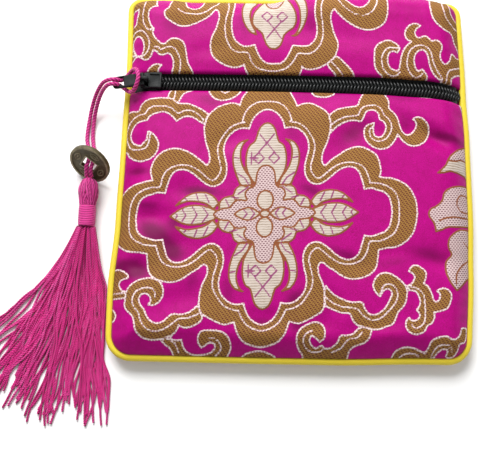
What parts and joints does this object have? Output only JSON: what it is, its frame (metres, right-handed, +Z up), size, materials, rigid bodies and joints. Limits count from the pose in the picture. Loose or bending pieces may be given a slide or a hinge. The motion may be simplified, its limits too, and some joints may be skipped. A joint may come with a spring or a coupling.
{
  "type": "zippered brocade coin purse with coin tassel",
  "caption": "Flat padded brocade purse with a piped edge, a zipper across the front, and a cord, holed coin and tassel on its pull tab.",
  "frame": {"origin": "on the surface the purse lies on, under the middle of its back", "axes": "+X to the right and +Y towards the zippered end, seen from the front; +Z up, out of the front"},
  "size_m": [0.1637, 0.1446, 0.0153],
  "materials": {
    "brocade": "satin brocade, woven with gold-brown, cream and white figures",
    "piping": "plain yellow satin piping",
    "zipper_tape": "black woven polyester",
    "zipper_coil": "black nylon coil",
    "pull_metal": "dark charcoal enamel, worn at the edges",
    "cord": "twisted pink rayon thread",
    "bronze": "antiqued bronze, rubbed bright on the raised edges"
  },
  "bodies": {
    "root": {"back_panel": "brocade", "front_lower_panel": "brocade", "front_upper_panel": "brocade", "edge_piping": "piping", "zipper_tape_upper": "zipper_tape", "zipper_tape_lower": "zipper_tape", "zipper_coil_upper": "zipper_coil", "zipper_coil_lower": "zipper_coil", "zipper_slider": "pull_metal", "pull_tab": "pull_metal", "cord_loop": "cord", "coin": "bronze", "tassel_head": "cord", "tassel_binding": "cord", "tassel_skirt": "cord"}
  },
  "joints": []
}
